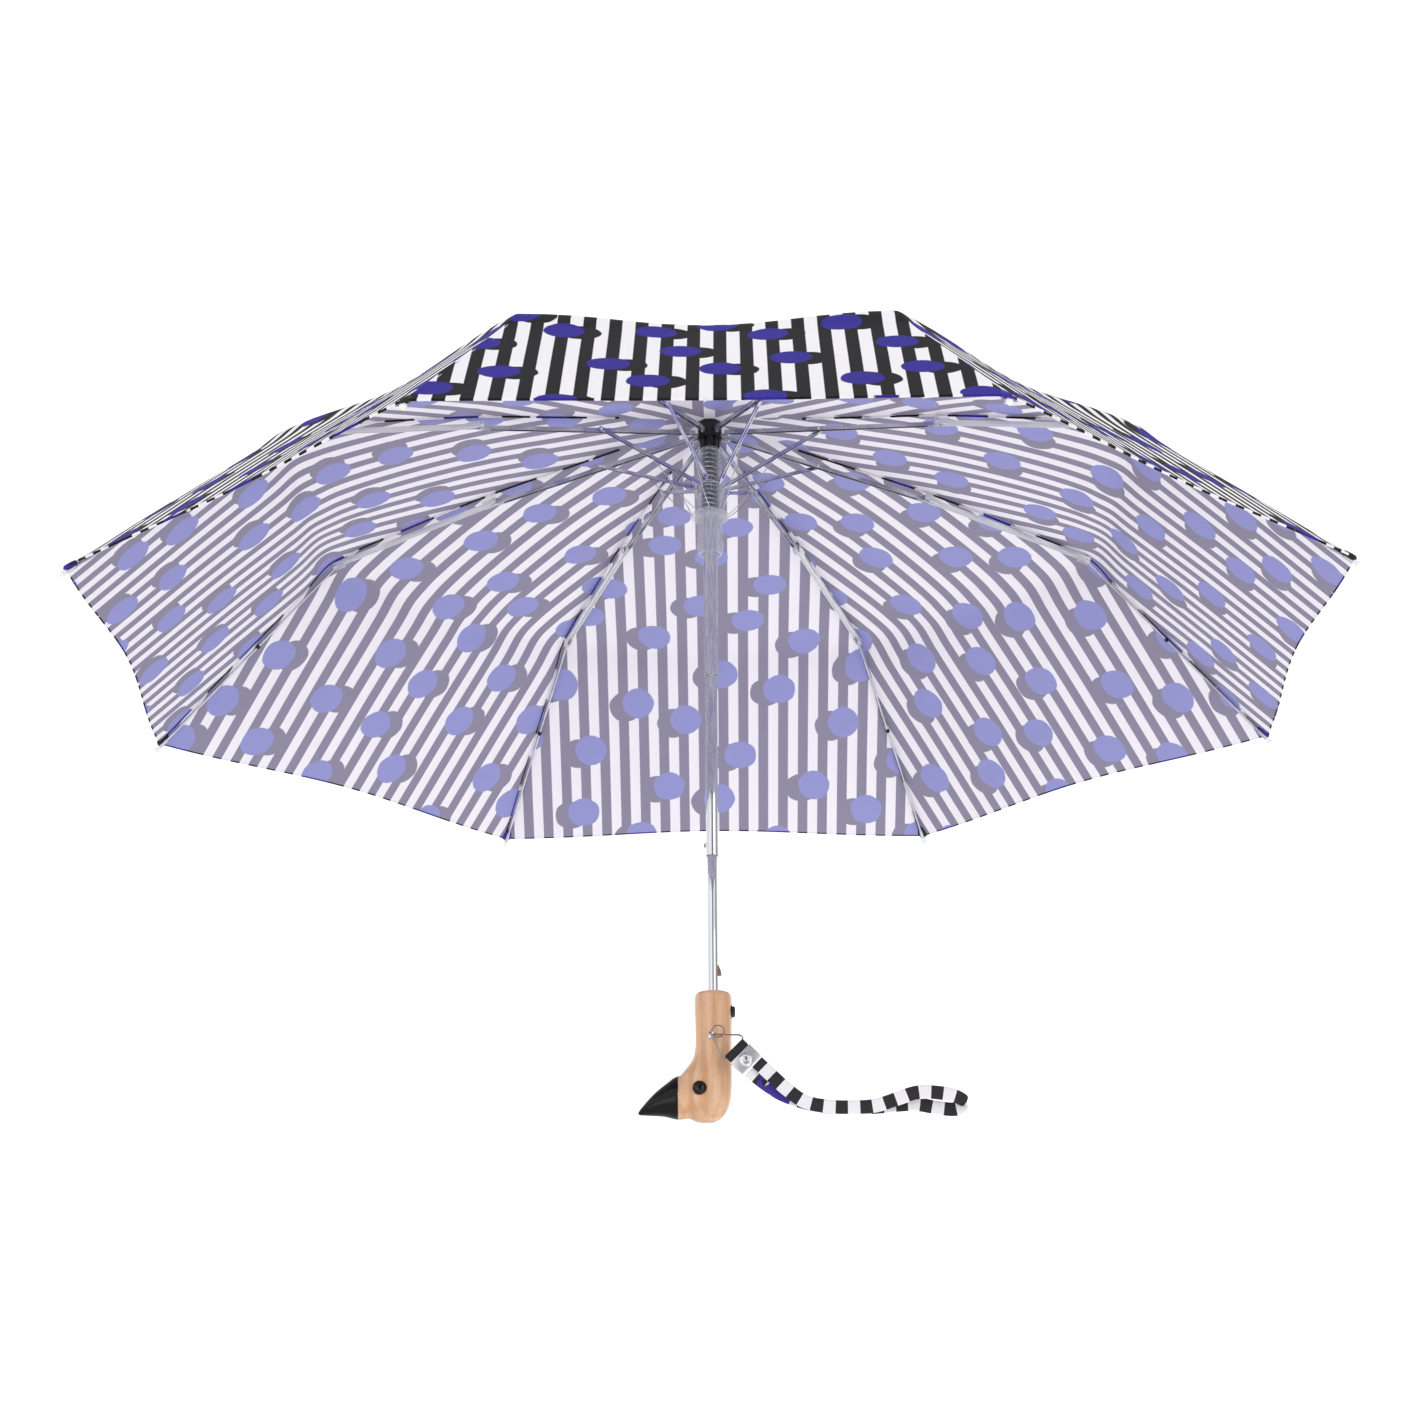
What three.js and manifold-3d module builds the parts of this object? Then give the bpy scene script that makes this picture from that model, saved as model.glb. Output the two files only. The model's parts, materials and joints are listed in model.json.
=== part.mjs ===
// A three-fold automatic umbrella with a carved bird's-head handle, standing open.
// Millimetres, +Z up along the shaft. The origin is the middle of the hand's grip on the neck.
import * as THREE from 'three';
import { mergeVertices } from 'three/addons/utils/BufferGeometryUtils.js';
import Module from 'manifold-3d';

const wasm = await Module();
wasm.setup();

// Frame of the canopy
const RIBS = 8;
const SECTOR = (2 * Math.PI) / RIBS;
const CROWN_PIVOT = { r: 8.2, z: 487 };
const KNEE = { r: 188, z: 465 };
const ELBOW = { r: 332, z: 432 };
const RIB_TIP = { r: 490, z: 300 };
const CLIP_POINT = { r: 92, z: 477 };
const RUNNER_PIVOT = { r: 10.5, z: 444 };
const GAP = 0.4;

// Steel sections of the ribs
const TOP_RIB = { half: 1.7, low: 0.6, high: 3.6, wall: 0.45 };
const MIDDLE_RIB = { half: 2.1, low: -2.7, high: 0.3, wall: 0.5 };
const STRETCHER = { side: 3.6, half: 1.2, low: -1.2, high: 1.2, wall: 0.4 };
const KNEE_RISE = 4.4;
const ELBOW_DROP = 3;
const ROD_RADIUS = 1;
const RIB_CAP_RADIUS = 2.1;
const EYE_HOLE = 0.85;
const WIRE = 0.45;

// Telescopic shaft
const UPPER_TUBE = { r: 5.5, wall: 0.5, low: 287, high: 495 };
const MIDDLE_TUBE = { r: 4.6, wall: 0.45, low: 143.5, high: 305 };
const LOWER_TUBE = { r: 3.7, wall: 0.5, low: 0, high: 165 };

// Handle
const NECK = 13.3;
const HANDLE_TOP = 38;
const HEAD = { z: -39.5, r: 18.5, thick: 16.5 };
const BEAK = { root: -12, tip: -55, tipZ: -51.5 };
const EYE = { x: -10, z: -36, r: 5 };
const BUTTON = { z: 24, r: 4.1, out: 2.9 };

// Canopy
const CLOTH = 0.8;
const CLOTH_RISE = 7.2;
const CLOTH_SAG = 9;
const SAG_SHARE = 0.65;
const SAG_REACH = 0.16;
const GORE_CUTS = 6;

const STEEL = { color: 0x8d8f94, roughness: 0.35, metalness: 1 };
const LIGHT_STEEL = { color: 0xc4c5c8, roughness: 0.4, metalness: 0.9 };
const CHROME = { color: 0xd6d8dc, roughness: 0.12, metalness: 1 };
const BLACK = { color: 0x141416, roughness: 0.35, metalness: 0 };
const CLEAR = { color: 0xdfe3e6, roughness: 0.1, metalness: 0, transparent: true, opacity: 0.4 };
const WOOD = { color: 0xd9a777, roughness: 0.25, metalness: 0 };
const FABRIC = { color: 0xd8d5dd, roughness: 0.85, metalness: 0, side: THREE.DoubleSide };
const BRASSY = { color: 0xa98a72, roughness: 0.3, metalness: 1 };

const umbrella = new THREE.Group();

// Adds one named piece, with its own material, to a group.
function addPiece(name, geometry, finish, parent = umbrella) {
  const mesh = new THREE.Mesh(geometry, new THREE.MeshStandardMaterial(finish));
  mesh.name = name;
  parent.add(mesh);
  return mesh;
}

// Boolean helpers: a closed geometry becomes a solid, and a solid becomes a geometry again.
function toSolid(geometry) {
  const bare = geometry.clone();
  bare.deleteAttribute('normal');
  bare.deleteAttribute('uv');
  const merged = mergeVertices(bare, 1e-4);
  const vertProperties = new Float32Array(merged.attributes.position.array);
  const triVerts = new Uint32Array(merged.index.array);
  return new wasm.Manifold(new wasm.Mesh({ numProp: 3, vertProperties, triVerts }));
}

function toGeometry(solid) {
  const { vertProperties, triVerts } = solid.getMesh();
  const geometry = new THREE.BufferGeometry();
  geometry.setAttribute('position', new THREE.BufferAttribute(new Float32Array(vertProperties), 3));
  geometry.setIndex(new THREE.BufferAttribute(new Uint32Array(triVerts), 1));
  geometry.computeVertexNormals();
  return geometry;
}

function join(pieces) {
  return toGeometry(pieces.map(toSolid).reduce((whole, piece) => whole.add(piece)));
}

function cut(body, tools) {
  return toGeometry(tools.map(toSolid).reduce((whole, tool) => whole.subtract(tool), toSolid(body)));
}

// Shape helpers
function block(x0, x1, y0, y1, z0, z1) {
  const box = new THREE.BoxGeometry(x1 - x0, y1 - y0, z1 - z0);
  return box.translate((x0 + x1) / 2, (y0 + y1) / 2, (z0 + z1) / 2);
}

// Turns a profile of [radius, height] corners about the Z axis.
function turned(profile, segments = 24) {
  const points = profile.map(([r, z]) => new THREE.Vector2(r, z));
  return new THREE.LatheGeometry(points, segments).rotateX(Math.PI / 2);
}

function tube({ r, wall, low, high }, segments = 24) {
  return turned([[r - wall, low], [r, low], [r, high], [r - wall, high], [r - wall, low]], segments);
}

function rodAlongY(r, length, x, z, segments = 12) {
  return new THREE.CylinderGeometry(r, r, length, segments).translate(x, 0, z);
}

function wireRing(r, wire, z, segments = 24) {
  return new THREE.TorusGeometry(r, wire, 5, segments).translate(0, 0, z);
}

// A round or oval wire bent along points; closed routes meet themselves.
function wireAlong(points, radius, { halfSides = 4, steps = 24, flat = 1, closed = false } = {}) {
  const route = new THREE.CatmullRomCurve3(points.map((p) => new THREE.Vector3(...p)), closed, 'centripetal');
  const outline = new THREE.Shape();
  outline.absellipse(0, 0, radius * flat, radius, 0, 2 * Math.PI);
  return new THREE.ExtrudeGeometry(outline, { steps, extrudePath: route, curveSegments: halfSides });
}

// A U channel along +X, open below, between heights low and high.
function channel({ half, low, high, wall }, start, end, side = 0) {
  const shape = new THREE.Shape();
  const corners = [
    [-half, low], [-half + wall, low], [-half + wall, high - wall], [half - wall, high - wall],
    [half - wall, low], [half, low], [half, high], [-half, high],
  ];
  corners.forEach(([y, z], i) => (i ? shape.lineTo(y + side, z) : shape.moveTo(y + side, z)));
  const bar = new THREE.ExtrudeGeometry(shape, { depth: end - start, bevelEnabled: false });
  const toX = new THREE.Matrix4().makeBasis(
    new THREE.Vector3(0, 1, 0), new THREE.Vector3(0, 0, 1), new THREE.Vector3(1, 0, 0),
  );
  return bar.applyMatrix4(toX).translate(start, 0, 0);
}

// The direction and length of a rib section, whose far pivot stands `rise` above its own line.
function section(from, to, rise = 0) {
  const dr = to.r - from.r;
  const dz = to.z - from.z;
  const reach = Math.sqrt(dr * dr + dz * dz - rise * rise);
  return { reach, slope: Math.atan2(dz, dr) - Math.atan2(rise, reach) };
}

function place(mesh, pivot, slope) {
  mesh.position.set(pivot.r, 0, pivot.z);
  mesh.rotation.y = -slope;
}

// Shaft: three steel tubes that slide into each other
function buildShaft() {
  const slot = block(-MIDDLE_TUBE.r - 1, -2, -1, 1, 149, 169);
  addPiece('upper_tube', tube(UPPER_TUBE), CHROME);
  addPiece('middle_tube', cut(tube(MIDDLE_TUBE), [slot]), CHROME);
  const catchSlot = block(2, LOWER_TUBE.r + 1, -1.2, 1.2, 50, 62);
  addPiece('lower_tube', cut(tube(LOWER_TUBE, 20), [catchSlot]), CHROME);
}

// Catches: a pawl that holds the tubes out, and the hooked catch that holds the runner down
function pawl(profile, half) {
  const shape = new THREE.Shape(profile.map(([x, z]) => new THREE.Vector2(x, z)));
  const blade = new THREE.ExtrudeGeometry(shape, { depth: 2 * half, bevelEnabled: false });
  return blade.rotateX(Math.PI / 2).translate(0, half, 0);
}

function buildCatches() {
  addPiece('tube_catch', pawl([[-6.2, 150.6], [-4.9, 150], [-4.9, 154], [-5.8, 153]], 0.7), STEEL);
  addPiece('closed_catch', pawl([[2.4, 51], [6.4, 51.6], [5.8, 55.5], [4, 59.5], [2.4, 60]], 0.8), BRASSY);
}

// Crown: the black notched hub that the top ribs hinge in
function buildCrown() {
  const body = turned([[5.8, 476.6], [7.8, 476.6], [7.8, 484], [9.4, 484], [9.4, 497], [5.8, 497], [5.8, 476.6]]);
  const groove = wireRing(CROWN_PIVOT.r, WIRE + GAP, CROWN_PIVOT.z);
  const notches = [];
  for (let i = 0; i < RIBS; i += 1) {
    notches.push(block(6.3, 12, -1.1, 1.1, 470, 490).rotateZ((i + 0.5) * SECTOR));
  }
  addPiece('crown', cut(body, [...notches, groove]), BLACK);
  addPiece('crown_wire', wireRing(CROWN_PIVOT.r, WIRE, CROWN_PIVOT.z), STEEL);
  const cap = [[0, 500.4], [12, 500.4], [12.4, 501.4], [10, 503.4], [7, 505.2], [6, 507.6], [5, 508.6], [0, 508.6]];
  addPiece('top_cap', turned(cap, 28), BLACK);
}

// Runner: the clear plastic slider, with its notched ring, flange and grip ring
function buildRunner() {
  const profile = [
    [7.6, 475.5], [7.6, 425], [5.9, 423.5], [5.9, 409], [7.3, 407], [7.3, 387],
    [9.2, 387], [9.6, 392.5], [10.4, 393], [10.4, 396.5], [9.4, 397.5], [9.4, 416], [14.3, 417.4],
    [14.3, 420.6], [9.2, 422.4], [9.0, 431], [12.2, 440], [12.2, 448.2], [8.6, 449.5], [8.4, 475.5],
    [7.6, 475.5],
  ];
  const body = turned(profile);
  const notches = [];
  for (let i = 0; i < RIBS; i += 1) {
    const mid = STRETCHER.side;
    notches.push(block(8.5, 14, mid - 1.5, mid + 1.5, 436, 452).rotateZ((i + 0.5) * SECTOR));
  }
  const wireRadius = Math.hypot(RUNNER_PIVOT.r, STRETCHER.side);
  const groove = wireRing(wireRadius, WIRE + GAP, RUNNER_PIVOT.z);
  addPiece('runner', cut(body, [...notches, groove]), CLEAR);
  addPiece('runner_wire', wireRing(wireRadius, WIRE, RUNNER_PIVOT.z), STEEL);
}

// Recoil spring: a wire coil inside the runner's clear sleeve
function buildSpring() {
  const coil = { r: 6.7, wire: 0.5, low: 426, high: 474, turns: 10, stepsPerTurn: 10 };
  class Helix extends THREE.Curve {
    getPoint(t, target = new THREE.Vector3()) {
      const turn = 2 * Math.PI * coil.turns * t;
      return target.set(coil.r * Math.cos(turn), coil.r * Math.sin(turn), coil.low + (coil.high - coil.low) * t);
    }
  }
  const round = new THREE.Shape();
  round.absellipse(0, 0, coil.wire, coil.wire, 0, 2 * Math.PI);
  const steps = coil.turns * coil.stepsPerTurn;
  const wire = new THREE.ExtrudeGeometry(round, { steps, extrudePath: new Helix(), curveSegments: 3 });
  addPiece('recoil_spring', wire, STEEL);
}

// Ribs: each of the eight is a top rib, a stretcher, a middle rib and an outer rib
function topRib(reach) {
  const bar = channel(TOP_RIB, 4.5, reach - 3.2);
  const tongue = block(-1.3, 7, -0.6, 0.6, -1.25, 1.25);
  const neck = block(4.5, 9, -1.3, 1.3, 0.2, 2.4);
  const insert = block(reach - 8, reach + 1.8, -1.6, 1.6, TOP_RIB.low + 0.4, TOP_RIB.high - 0.2);
  const ear = block(reach - 3.2, reach + 1.8, -1.6, 1.6, TOP_RIB.low + 0.4, KNEE_RISE + 1.3);
  return cut(join([bar, tongue, neck, insert, ear]), [
    rodAlongY(EYE_HOLE, 4, 0, 0, 8), rodAlongY(0.8, 6, reach, KNEE_RISE, 6),
  ]);
}

function stretcher(reach) {
  const { side, half } = STRETCHER;
  const bar = channel(STRETCHER, 4, reach + 1.6, side);
  const tongue = block(-1.4, 6, side - 0.6, side + 0.6, -1.2, 1);
  const head = block(reach - 4, reach + 1.6, side - half + 0.1, side + half - 0.1, -1, 1);
  return cut(join([bar, tongue, head]), [rodAlongY(EYE_HOLE, 2 * side + 4, 0, 0, 8)]);
}

function middleRib(reach) {
  const { half, low, high, wall } = MIDDLE_RIB;
  const bar = channel(MIDDLE_RIB, 4, reach + 2);
  const pieces = [bar];
  for (const side of [-1, 1]) {
    const near = side * (TOP_RIB.half + 0.3);
    const far = side * (TOP_RIB.half + 0.9);
    pieces.push(block(-2.2, 10, Math.min(near, far), Math.max(near, far), low, 2.2));
    const inner = side * (half - wall);
    const outer = side * half;
    const ear = [Math.min(inner, outer), Math.max(inner, outer)];
    pieces.push(block(reach - 8, reach + 2, ear[0], ear[1], -ELBOW_DROP - 1.8, high - wall));
  }
  pieces.push(rodAlongY(0.45, 2 * (TOP_RIB.half + 0.7), 0, 0, 6));
  pieces.push(rodAlongY(0.4, 2 * half - 0.2, reach, -ELBOW_DROP, 6));
  return join(pieces);
}

function outerRib(reach) {
  const rod = new THREE.CylinderGeometry(ROD_RADIUS, ROD_RADIUS, reach - 1.6, 6).rotateZ(Math.PI / 2);
  rod.translate(reach / 2 + 0.8, 0, 0);
  const eye = rodAlongY(1.9, 2.2, 0, 0, 8);
  const cap = new THREE.SphereGeometry(RIB_CAP_RADIUS, 6, 4).translate(reach + 3.5, 0, 0);
  const ferrule = new THREE.CylinderGeometry(1.5, 1.5, 10, 6).rotateZ(Math.PI / 2).translate(reach - 1, 0, 0);
  return cut(join([rod, eye, cap, ferrule]), [rodAlongY(EYE_HOLE, 4, 0, 0, 6)]);
}

function buildRibs() {
  const top = section(CROWN_PIVOT, KNEE, KNEE_RISE);
  const strut = section(RUNNER_PIVOT, CLIP_POINT);
  const middle = section(KNEE, ELBOW, -ELBOW_DROP);
  const outer = section(ELBOW, RIB_TIP);
  for (let i = 0; i < RIBS; i += 1) {
    const arm = new THREE.Group();
    arm.rotation.z = (i + 0.5) * SECTOR;
    umbrella.add(arm);
    place(addPiece(`top_rib_${i + 1}`, topRib(top.reach), STEEL, arm), CROWN_PIVOT, top.slope);
    place(addPiece(`stretcher_${i + 1}`, stretcher(strut.reach), STEEL, arm), RUNNER_PIVOT, strut.slope);
    place(addPiece(`middle_rib_${i + 1}`, middleRib(middle.reach), LIGHT_STEEL, arm), KNEE, middle.slope);
    place(addPiece(`outer_rib_${i + 1}`, outerRib(outer.reach), STEEL, arm), ELBOW, outer.slope);
  }
}

// Canopy: one skin of eight gores, tight over the ribs and pulled inwards between them
function ribLine() {
  return new THREE.CatmullRomCurve3([
    [9.5, 499.2], [60, 493], [128, 482], [KNEE.r, KNEE.z + CLOTH_RISE], [262, 455.8],
    [320, 441.4], [ELBOW.r + 8, ELBOW.z + 2], [361, 414], [426, 359.2], [RIB_TIP.r + 2.5, RIB_TIP.z + 2.2],
  ].map(([r, z]) => new THREE.Vector3(r, 0, z)), false, 'centripetal');
}

// The point at a share of the rib line, `across` gores round from the first rib.
function canopyPoint(line, share, across) {
  const at = line.getPoint(share);
  const angle = across * SECTOR;
  const half = SECTOR / 2;
  const within = angle - SECTOR * Math.floor(across) - half;
  const bow = Math.cos((within / SECTOR) * Math.PI) ** 2;
  const chord = Math.cos(half) / Math.cos(within);
  const pull = 9 * share ** 3 + 3 * share * (1 - share);
  const r = at.x * chord - pull * bow;
  const rise = 3.3 * share ** 8 * bow;
  const sag = CLOTH_SAG * bow * Math.exp(-(((share - SAG_SHARE) / SAG_REACH) ** 2));
  return [r * Math.cos(angle + half), r * Math.sin(angle + half), at.z + rise - sag];
}

function buildCanopy() {
  const line = ribLine();
  const shares = [0, 0.12, 0.27, 0.42, 0.56, 0.63, 0.65, 0.667, 0.69, 0.74, 0.87, 1];
  const around = RIBS * GORE_CUTS;
  const positions = [];
  const index = [];
  for (const drop of [0, CLOTH]) {
    for (const share of shares) {
      for (let k = 0; k < around; k += 1) {
        const [x, y, z] = canopyPoint(line, share, k / GORE_CUTS);
        const slopeBack = share > 0.66 ? 0.7 * drop : 0;
        const inwards = 1 - slopeBack / Math.hypot(x, y);
        positions.push(x * inwards, y * inwards, z - drop);
      }
    }
  }
  const at = (layer, row, k) => (layer * shares.length + row) * around + (k % around);
  const quad = (a, b, c, d) => index.push(a, b, c, a, c, d);
  const last = shares.length - 1;
  for (let k = 0; k < around; k += 1) {
    for (let row = 0; row < last; row += 1) {
      quad(at(0, row, k), at(0, row + 1, k), at(0, row + 1, k + 1), at(0, row, k + 1));
      quad(at(1, row, k + 1), at(1, row + 1, k + 1), at(1, row + 1, k), at(1, row, k));
    }
    quad(at(0, last, k), at(1, last, k), at(1, last, k + 1), at(0, last, k + 1));
    quad(at(0, 0, k + 1), at(1, 0, k + 1), at(1, 0, k), at(0, 0, k));
  }
  const geometry = new THREE.BufferGeometry();
  geometry.setAttribute('position', new THREE.Float32BufferAttribute(positions, 3));
  geometry.setIndex(index);
  geometry.computeVertexNormals();
  addPiece('canopy', geometry, FABRIC);
}

// A solid whose slices along one axis are ellipses.
// Each station is [place along the axis, low edge, high edge, half thickness in Y].
function sliced(stations, toPoint, sides = 24) {
  const positions = [];
  const index = [];
  for (const [along, low, high, thick] of stations) {
    for (let k = 0; k < sides; k += 1) {
      const turn = (2 * Math.PI * k) / sides;
      const across = (low + high) / 2 + ((high - low) / 2) * Math.cos(turn);
      positions.push(...toPoint(along, across, thick * Math.sin(turn)));
    }
  }
  const last = (stations.length - 1) * sides;
  for (let k = 0; k < sides; k += 1) {
    const next = (k + 1) % sides;
    for (let row = 0; row < last; row += sides) {
      index.push(row + k, row + next, row + sides + next, row + k, row + sides + next, row + sides + k);
    }
  }
  for (let k = 1; k < sides - 1; k += 1) {
    index.push(0, k + 1, k, last, last + k, last + k + 1);
  }
  const geometry = new THREE.BufferGeometry();
  geometry.setAttribute('position', new THREE.Float32BufferAttribute(positions, 3));
  geometry.setIndex(index);
  return geometry;
}

function smoothStations(rows, count) {
  const path = new THREE.CatmullRomCurve3(rows.map(([a, b, c]) => new THREE.Vector3(a, b, c)), false, 'centripetal');
  const thick = new THREE.CatmullRomCurve3(rows.map(([a, , , d]) => new THREE.Vector3(a, d, 0)), false, 'centripetal');
  const out = [];
  for (let i = 0; i <= count; i += 1) {
    const p = path.getPoint(i / count);
    out.push([p.x, p.y, p.z, thick.getPoint(i / count).y]);
  }
  return out;
}

function buildHandle() {
  const low = HEAD.z - HEAD.r;
  const neckAndHead = [
    [low, -7, -1, 2.5], [low + 1.6, -14.5, 3.2, 8], [low + 6.5, -21.5, 8.4, 12.5], [low + 14, -25.5, 11.8, 15.8],
    [low + 24, -26.5, NECK - 0.2, HEAD.thick], [low + 33, -25, NECK, 15.6], [low + 39, -20.5, NECK, 14.4],
    [low + 46, -15.6, NECK, 13.6], [low + 55, -NECK, NECK, NECK], [HANDLE_TOP - 2.2, -NECK, NECK, NECK],
    [HANDLE_TOP - 0.6, -12.6, 12.6, 12.6], [HANDLE_TOP, -11, 11, 11],
  ];
  const head = sliced(smoothStations(neckAndHead, 17), (z, x, y) => [x, y, z], 22);
  const beakRows = [
    [BEAK.tip, BEAK.tipZ - 1, BEAK.tipZ + 1, 1], [BEAK.tip + 2.2, -52.6, -47.4, 2.6], [-44, -52.9, -37.4, 7.4],
    [-35, -53.6, -29.8, 10.8], [-26, -55.6, -24, 13.4], [BEAK.root, -54, -26, 12],
  ];
  const beak = sliced(smoothStations(beakRows, 8), (x, z, y) => [x, -y, z], 16);
  const bore = turned([[0, -2], [LOWER_TUBE.r + GAP, -2], [LOWER_TUBE.r + GAP, 60], [0, 60]], 20);
  const buttonWell = new THREE.CylinderGeometry(5.2, 5.2, 9, 20).rotateZ(Math.PI / 2).translate(NECK - 1.2, 0, BUTTON.z);
  const eyePits = [-1, 1].map((side) => rodAlongY(EYE.r + 0.3, 4, EYE.x, EYE.z, 20).translate(0, side * 17.2, 0));
  const eyeletHole = rodAlongY(1.2, 8, -1, 2, 10).translate(0, -12.5, 0);
  addPiece('handle', cut(join([head, beak]), [bore, buttonWell, ...eyePits, eyeletHole]), WOOD);
}

// Glass eyes: a domed bead seated in a pit on each cheek
function buildEyes() {
  const bead = [[0, 0], [EYE.r, 0], [EYE.r, 0.9], [4, 2.6], [2.2, 3.5], [0, 3.8]];
  for (const [name, side] of [['eye_left', -1], ['eye_right', 1]]) {
    const dome = turned(bead, 20).rotateX(side * -Math.PI / 2);
    addPiece(name, dome.translate(EYE.x, side * 15.4, EYE.z), BLACK);
  }
}

// Release button, and the black bush that it slides in
function buildButton() {
  const { r, out, z } = BUTTON;
  const bush = tube({ r: 4.9, wall: 0.5, low: 9, high: NECK + 0.7 }).rotateY(Math.PI / 2).translate(0, 0, z);
  addPiece('button_bush', bush, BLACK);
  const face = NECK + out;
  const profile = [[0, 11.2], [r, 11.2], [r, face - 0.8], [r - 0.8, face], [0, face]];
  addPiece('release_button', turned(profile, 24).rotateY(Math.PI / 2).translate(0, 0, z), BLACK);
}

// Wrist strap: screw eye, wire bail, clip plate, snap rivet and the loop of cloth tape
const STRAP_ROUTE = [
  [31.6, -21.9, -18.8], [41, -22.6, -28], [52, -23, -38.5], [65, -23, -48], [80, -23, -51.6], [98, -23, -52.5],
  [116, -23, -51.5], [132, -22.8, -46.5], [146, -22.5, -42], [162, -22, -42.2], [175, -21, -45],
  [181, -18.2, -48.8],
  [175, -15.6, -52.6], [162, -15.2, -51.8], [146, -15.4, -49], [132, -15.6, -51], [116, -16, -55],
  [98, -16.2, -56.5], [80, -16.4, -56.5], [62, -17, -54.5], [47, -17.8, -45.5], [36, -18.6, -35], [26, -19.3, -24.6],
];

function buildStrap() {
  const post = new THREE.CylinderGeometry(0.9, 0.9, 9, 10).translate(-1, -13.2, 2);
  const ring = new THREE.TorusGeometry(3.6, 0.75, 6, 18).rotateY(-0.9).translate(-1, -20.6, 2);
  addPiece('screw_eye', join([post, ring]), CHROME);
  const bail = [[2.8, -22, 1.7], [19.6, -20.4, 1.4], [21.4, -20.2, -0.6], [9.4, -20.8, -15.6], [7.2, -21, -16.2],
    [0.8, -25, -2.4], [-1.6, -25.9, 1], [-2.7, -24, 3.1], [-0.7, -22.1, 2.5]];
  addPiece('bail', wireAlong(bail, 0.65, { halfSides: 3, steps: 48, closed: true }), CHROME);
  const across = new THREE.Matrix4().makeRotationY(Math.PI / 4);
  const plate = block(9.3, 17.5, -1.3, 1.3, -9, 9);
  const fold = block(-1, 8.9, -1.5, 1.5, -8.4, 8.4);
  const wireHole = new THREE.BoxGeometry(4.6, 2.6, 24).translate(0.9, 0, 0);
  const seat = (geometry) => geometry.applyMatrix4(across).translate(15.4, -20.6, -8.4);
  addPiece('strap_clip', seat(plate), CLEAR);
  addPiece('strap_fold', seat(cut(fold, [wireHole])), FABRIC);
  const rivet = turned([[0, 0], [4.6, 0], [4.6, 0.8], [3, 1.7], [0, 2]], 20).rotateX(Math.PI / 2);
  addPiece('snap_rivet', rivet.translate(24.4, -22.3, -17.8), CHROME);
  const tape = wireAlong(STRAP_ROUTE, 0.8, { steps: 72, flat: 5 });
  addPiece('strap', tape, FABRIC);
}

buildShaft();
buildCatches();
buildCrown();
buildRunner();
buildSpring();
buildRibs();
buildCanopy();
buildHandle();
buildEyes();
buildButton();
buildStrap();

export default umbrella;
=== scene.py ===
import json
import math

import bmesh
import bpy
from mathutils import Matrix, Vector

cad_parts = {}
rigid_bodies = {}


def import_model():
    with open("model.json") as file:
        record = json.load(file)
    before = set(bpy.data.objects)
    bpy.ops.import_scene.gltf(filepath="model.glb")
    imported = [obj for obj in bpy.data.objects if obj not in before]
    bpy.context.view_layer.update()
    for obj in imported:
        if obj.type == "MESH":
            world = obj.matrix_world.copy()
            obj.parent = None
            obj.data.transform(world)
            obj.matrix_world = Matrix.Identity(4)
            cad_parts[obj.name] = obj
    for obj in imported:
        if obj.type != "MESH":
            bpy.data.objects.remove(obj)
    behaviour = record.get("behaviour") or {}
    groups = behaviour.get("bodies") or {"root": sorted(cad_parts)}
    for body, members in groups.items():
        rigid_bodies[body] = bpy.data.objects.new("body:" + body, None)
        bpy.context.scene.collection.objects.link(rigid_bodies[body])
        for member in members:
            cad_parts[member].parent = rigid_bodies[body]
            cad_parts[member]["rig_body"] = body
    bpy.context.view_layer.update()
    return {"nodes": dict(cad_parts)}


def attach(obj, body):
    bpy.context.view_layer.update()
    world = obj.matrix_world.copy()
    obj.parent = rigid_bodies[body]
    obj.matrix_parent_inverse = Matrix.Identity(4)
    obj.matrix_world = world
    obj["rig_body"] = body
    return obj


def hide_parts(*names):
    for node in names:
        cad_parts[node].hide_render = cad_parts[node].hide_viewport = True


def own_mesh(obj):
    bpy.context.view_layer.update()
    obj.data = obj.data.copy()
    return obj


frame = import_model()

scene = bpy.context.scene


# Camera: low in front of the handle, looking up along +Y into the open canopy
# through a long portrait lens.
eye_point = Vector((0.0107, -2.1837, -0.5299))
sight = Vector((-0.005703, 0.940223, 0.340512))
upright = Vector((0.007544, -0.340467, 0.940226))
camera_data = bpy.data.cameras.new("camera")
camera_data.lens = 77.8
camera_data.sensor_width = 36
camera_data.clip_start = 0.01
camera = bpy.data.objects.new("camera", camera_data)
sideways = sight.cross(upright).normalized()
upright = sideways.cross(sight).normalized()
camera_turn = Matrix((sideways, upright, -sight)).transposed().to_4x4()
camera.matrix_world = Matrix.Translation(eye_point) @ camera_turn
scene.collection.objects.link(camera)
scene.camera = camera
scene.view_settings.view_transform = "Standard"


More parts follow.
